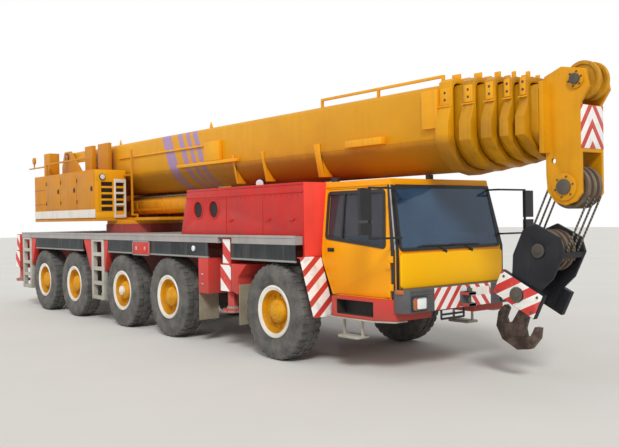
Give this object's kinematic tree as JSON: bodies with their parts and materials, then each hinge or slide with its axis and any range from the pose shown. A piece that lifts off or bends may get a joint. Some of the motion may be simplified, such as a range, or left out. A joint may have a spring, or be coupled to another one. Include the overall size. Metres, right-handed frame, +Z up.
{
  "type": "mobile crane",
  "caption": "Road-going mobile crane with a low driver's cab, engine house, slewing superstructure and long telescopic boom lowered over the cab, its hook block drawn back at the front.",
  "frame": {"origin": "on the ground under the middle of the crane's length and width", "axes": "+X forward to the cab and hook, +Y to the crane's left, +Z up"},
  "size_m": [15.0709, 3.28, 3.678],
  "materials": {
    "carrier_red": "satin paint",
    "frame_grey": "matt paint",
    "deck_grey": "worn paint",
    "step_pale": "worn paint",
    "cab_yellow": "gloss paint",
    "boom_orange": "satin paint",
    "bumper_grey": "satin paint",
    "interior_dark": "matt",
    "tyre": "dusty rubber",
    "hazard_red": "striped paint",
    "bare_steel": "machined",
    "engine_dark": "cast",
    "sheave_steel": "worn"
  },
  "bodies": {
    "carrier": {"chassis_frame": "frame_grey", "axle_beams": "frame_grey", "deck": "deck_grey", "side_boxes": "carrier_red", "ladders": "step_pale", "striped_plates": "hazard_red", "engine_house": "carrier_red", "engine": "engine_dark", "cab_shell": "cab_yellow", "cab_fittings": "interior_dark", "cab_trim": "interior_dark", "bumper": "bumper_grey", "slew_pedestal": "carrier_red"},
    "knuckle_1_right": {"knuckle_1_right": "frame_grey"},
    "wheel_1_right": {"wheel_1_right": "tyre"},
    "knuckle_1_left": {"knuckle_1_left": "frame_grey"},
    "wheel_1_left": {"wheel_1_left": "tyre"},
    "knuckle_2_right": {"knuckle_2_right": "frame_grey"},
    "wheel_2_right": {"wheel_2_right": "tyre"},
    "knuckle_2_left": {"knuckle_2_left": "frame_grey"},
    "wheel_2_left": {"wheel_2_left": "tyre"},
    "wheel_3_right": {"wheel_3_right": "tyre"},
    "wheel_3_left": {"wheel_3_left": "tyre"},
    "knuckle_4_right": {"knuckle_4_right": "frame_grey"},
    "wheel_4_right": {"wheel_4_right": "tyre"},
    "knuckle_4_left": {"knuckle_4_left": "frame_grey"},
    "wheel_4_left": {"wheel_4_left": "tyre"},
    "knuckle_5_right": {"knuckle_5_right": "frame_grey"},
    "wheel_5_right": {"wheel_5_right": "tyre"},
    "knuckle_5_left": {"knuckle_5_left": "frame_grey"},
    "wheel_5_left": {"wheel_5_left": "tyre"},
    "outrigger_beam_front_right": {"outrigger_beam_front_right": "hazard_red"},
    "outrigger_jack_front_right": {"outrigger_jack_front_right": "hazard_red"},
    "outrigger_beam_front_left": {"outrigger_beam_front_left": "hazard_red"},
    "outrigger_jack_front_left": {"outrigger_jack_front_left": "hazard_red"},
    "outrigger_beam_rear_right": {"outrigger_beam_rear_right": "hazard_red"},
    "outrigger_jack_rear_right": {"outrigger_jack_rear_right": "hazard_red"},
    "outrigger_beam_rear_left": {"outrigger_beam_rear_left": "hazard_red"},
    "outrigger_jack_rear_left": {"outrigger_jack_rear_left": "hazard_red"},
    "door_right": {"door_right": "cab_yellow"},
    "door_left": {"door_left": "cab_yellow"},
    "superstructure": {"turntable": "boom_orange", "machinery_housings": "cab_yellow", "counterweight": "boom_orange", "operator_cab": "cab_yellow", "operator_seat": "interior_dark"},
    "operator_door": {"operator_door": "cab_yellow"},
    "boom": {"boom_base": "boom_orange", "boom_fittings": "boom_orange"},
    "luffing_barrel": {"luffing_barrel": "carrier_red"},
    "luffing_rod": {"luffing_rod": "bare_steel"},
    "section_1": {"boom_section_1": "boom_orange"},
    "section_2": {"boom_section_2": "boom_orange"},
    "section_3": {"boom_section_3": "boom_orange"},
    "section_4": {"boom_section_4": "boom_orange"},
    "boom_head": {"boom_head": "boom_orange", "head_sheaves": "sheave_steel"},
    "hook_block": {"hook_block": "cab_yellow", "block_reeving": "sheave_steel"},
    "hook": {"hook": "carrier_red"}
  },
  "joints": [
    {"name": "steer_1_right", "type": "hinge", "parent": "carrier", "child": "knuckle_1_right", "pos_m": [3.2945, -1.04, 0.66967], "axis": [0, 0, 1], "range_deg": [-32, 32]},
    {"name": "spin_1_right", "type": "hinge", "parent": "knuckle_1_right", "child": "wheel_1_right", "pos_m": [3.2945, -1.17, 0.66967], "axis": [0, 1, 0], "continuous": true},
    {"name": "steer_1_left", "type": "hinge", "parent": "carrier", "child": "knuckle_1_left", "pos_m": [3.2945, 1.04, 0.66967], "axis": [0, 0, 1], "range_deg": [-32, 32]},
    {"name": "spin_1_left", "type": "hinge", "parent": "knuckle_1_left", "child": "wheel_1_left", "pos_m": [3.2945, 1.17, 0.66967], "axis": [0, 1, 0], "continuous": true},
    {"name": "steer_2_right", "type": "hinge", "parent": "carrier", "child": "knuckle_2_right", "pos_m": [0.2945, -1.04, 0.66967], "axis": [0, 0, 1], "range_deg": [-13.2, 13.2]},
    {"name": "spin_2_right", "type": "hinge", "parent": "knuckle_2_right", "child": "wheel_2_right", "pos_m": [0.2945, -1.17, 0.66967], "axis": [0, 1, 0], "continuous": true},
    {"name": "steer_2_left", "type": "hinge", "parent": "carrier", "child": "knuckle_2_left", "pos_m": [0.2945, 1.04, 0.66967], "axis": [0, 0, 1], "range_deg": [-13.2, 13.2]},
    {"name": "spin_2_left", "type": "hinge", "parent": "knuckle_2_left", "child": "wheel_2_left", "pos_m": [0.2945, 1.17, 0.66967], "axis": [0, 1, 0], "continuous": true},
    {"name": "spin_3_right", "type": "hinge", "parent": "carrier", "child": "wheel_3_right", "pos_m": [-1.4555, -1.17, 0.66967], "axis": [0, 1, 0], "continuous": true},
    {"name": "spin_3_left", "type": "hinge", "parent": "carrier", "child": "wheel_3_left", "pos_m": [-1.4555, 1.17, 0.66967], "axis": [0, 1, 0], "continuous": true},
    {"name": "steer_4_right", "type": "hinge", "parent": "carrier", "child": "knuckle_4_right", "pos_m": [-3.7055, -1.04, 0.66967], "axis": [0, 0, 1], "range_deg": [-16.7, 16.7]},
    {"name": "spin_4_right", "type": "hinge", "parent": "knuckle_4_right", "child": "wheel_4_right", "pos_m": [-3.7055, -1.17, 0.66967], "axis": [0, 1, 0], "continuous": true},
    {"name": "steer_4_left", "type": "hinge", "parent": "carrier", "child": "knuckle_4_left", "pos_m": [-3.7055, 1.04, 0.66967], "axis": [0, 0, 1], "range_deg": [-16.7, 16.7]},
    {"name": "spin_4_left", "type": "hinge", "parent": "knuckle_4_left", "child": "wheel_4_left", "pos_m": [-3.7055, 1.17, 0.66967], "axis": [0, 1, 0], "continuous": true},
    {"name": "steer_5_right", "type": "hinge", "parent": "carrier", "child": "knuckle_5_right", "pos_m": [-5.3755, -1.04, 0.66967], "axis": [0, 0, 1], "range_deg": [-27.6, 27.6]},
    {"name": "spin_5_right", "type": "hinge", "parent": "knuckle_5_right", "child": "wheel_5_right", "pos_m": [-5.3755, -1.17, 0.66967], "axis": [0, 1, 0], "continuous": true},
    {"name": "steer_5_left", "type": "hinge", "parent": "carrier", "child": "knuckle_5_left", "pos_m": [-5.3755, 1.04, 0.66967], "axis": [0, 0, 1], "range_deg": [-27.6, 27.6]},
    {"name": "spin_5_left", "type": "hinge", "parent": "knuckle_5_left", "child": "wheel_5_left", "pos_m": [-5.3755, 1.17, 0.66967], "axis": [0, 1, 0], "continuous": true},
    {"name": "extend_front_right", "type": "slide", "parent": "carrier", "child": "outrigger_beam_front_right", "axis": [0, -1, 0], "range_m": [0, 1.6]},
    {"name": "lower_front_right", "type": "slide", "parent": "outrigger_beam_front_right", "child": "outrigger_jack_front_right", "axis": [0, 0, -1], "range_m": [0, 0.55]},
    {"name": "extend_front_left", "type": "slide", "parent": "carrier", "child": "outrigger_beam_front_left", "axis": [0, 1, 0], "range_m": [0, 1.6]},
    {"name": "lower_front_left", "type": "slide", "parent": "outrigger_beam_front_left", "child": "outrigger_jack_front_left", "axis": [0, 0, -1], "range_m": [0, 0.55]},
    {"name": "extend_rear_right", "type": "slide", "parent": "carrier", "child": "outrigger_beam_rear_right", "axis": [0, -1, 0], "range_m": [0, 1.6]},
    {"name": "lower_rear_right", "type": "slide", "parent": "outrigger_beam_rear_right", "child": "outrigger_jack_rear_right", "axis": [0, 0, -1], "range_m": [0, 0.55]},
    {"name": "extend_rear_left", "type": "slide", "parent": "carrier", "child": "outrigger_beam_rear_left", "axis": [0, 1, 0], "range_m": [0, 1.6]},
    {"name": "lower_rear_left", "type": "slide", "parent": "outrigger_beam_rear_left", "child": "outrigger_jack_rear_left", "axis": [0, 0, -1], "range_m": [0, 0.55]},
    {"name": "door_right", "type": "hinge", "parent": "carrier", "child": "door_right", "pos_m": [5.2765, -1.035, 1.3], "axis": [0, 0, 1], "range_deg": [0, 70]},
    {"name": "door_left", "type": "hinge", "parent": "carrier", "child": "door_left", "pos_m": [5.2765, 1.035, 1.3], "axis": [0, 0, -1], "range_deg": [0, 70]},
    {"name": "slew", "type": "hinge", "parent": "carrier", "child": "superstructure", "pos_m": [-3.0055, 0, 1.89], "axis": [0, 0, 1], "continuous": true},
    {"name": "operator_door", "type": "hinge", "parent": "superstructure", "child": "operator_door", "pos_m": [-3.2025, 1.385, 2.7], "axis": [0, 0, 1], "range_deg": [0, 80]},
    {"name": "luff", "type": "hinge", "parent": "superstructure", "child": "boom", "pos_m": [-5.8555, 0, 3.45], "axis": [0, -1, 0], "range_deg": [0, 80]},
    {"name": "cylinder_pitch", "type": "hinge", "parent": "superstructure", "child": "luffing_barrel", "pos_m": [-3.7055, 0, 2.26], "axis": [0, -1, 0], "range_deg": [0, 89.1]},
    {"name": "rod_extend", "type": "slide", "parent": "luffing_barrel", "child": "luffing_rod", "axis": [1, 0, 0.0074], "range_m": [0, 3.05]},
    {"name": "telescope_1", "type": "slide", "parent": "boom", "child": "section_1", "axis": [1, 0, 0], "range_m": [0, 8.8]},
    {"name": "telescope_2", "type": "slide", "parent": "section_1", "child": "section_2", "axis": [1, 0, 0], "range_m": [0, 8.8]},
    {"name": "telescope_3", "type": "slide", "parent": "section_2", "child": "section_3", "axis": [1, 0, 0], "range_m": [0, 8.8]},
    {"name": "telescope_4", "type": "slide", "parent": "section_3", "child": "section_4", "axis": [1, 0, 0], "range_m": [0, 8.8]},
    {"name": "telescope_5", "type": "slide", "parent": "section_4", "child": "boom_head", "axis": [1, 0, 0], "range_m": [0, 8.8]},
    {"name": "block_swing", "type": "hinge", "parent": "boom_head", "child": "hook_block", "pos_m": [7.1745, 0, 2.25], "axis": [0, 1, 0], "range_deg": [0, 54.1]},
    {"name": "hook_swivel", "type": "hinge", "parent": "hook_block", "child": "hook", "pos_m": [6.58708, 0, 1.04562], "axis": [-0.4384, 0, -0.8988], "continuous": true}
  ],
  "couplings": [
    {"joint": "steer_1_left", "follows": "steer_1_right", "ratio": 1},
    {"joint": "steer_2_right", "follows": "steer_1_right", "ratio": 0.41},
    {"joint": "steer_2_left", "follows": "steer_1_right", "ratio": 0.41},
    {"joint": "steer_4_right", "follows": "steer_1_right", "ratio": -0.52},
    {"joint": "steer_4_left", "follows": "steer_1_right", "ratio": -0.52},
    {"joint": "steer_5_right", "follows": "steer_1_right", "ratio": -0.86},
    {"joint": "steer_5_left", "follows": "steer_1_right", "ratio": -0.86},
    {"joint": "cylinder_pitch", "follows": "luff", "ratio": 1.1127},
    {"joint": "rod_extend", "follows": "luff", "m_per_rad": 2.1805},
    {"joint": "telescope_2", "follows": "telescope_1", "ratio": 1},
    {"joint": "telescope_3", "follows": "telescope_1", "ratio": 1},
    {"joint": "telescope_4", "follows": "telescope_1", "ratio": 1},
    {"joint": "telescope_5", "follows": "telescope_1", "ratio": 1},
    {"joint": "block_swing", "follows": "luff", "ratio": 0.675}
  ]
}
